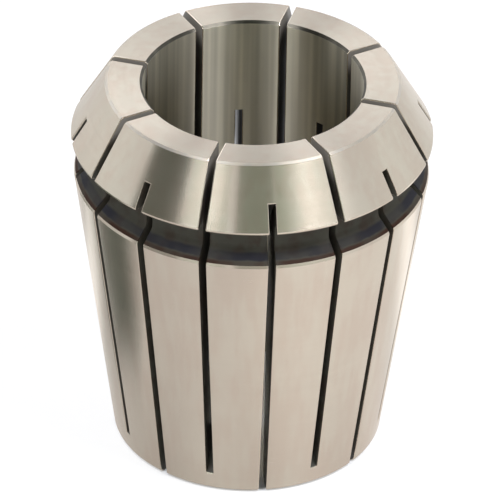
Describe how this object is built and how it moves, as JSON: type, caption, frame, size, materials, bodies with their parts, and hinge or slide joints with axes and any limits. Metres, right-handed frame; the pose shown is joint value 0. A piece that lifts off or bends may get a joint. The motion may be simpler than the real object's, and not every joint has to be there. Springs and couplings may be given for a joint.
{
  "type": "er collet",
  "caption": "Slotted spring collet with a long taper, an extraction groove, a nose cone and a plain through bore that closes on a tool shank.",
  "frame": {"origin": "centre of the small end's face", "axes": "+Z along the bore axis towards the nose; X and Y through slots sawn from the small end"},
  "size_m": [0.041, 0.041, 0.046],
  "materials": {
    "ground_steel": "ground bright on the taper, head, end faces and bore; dark oxide left in the groove and the slots"
  },
  "bodies": {
    "root": {"collet": "ground_steel"}
  },
  "joints": []
}
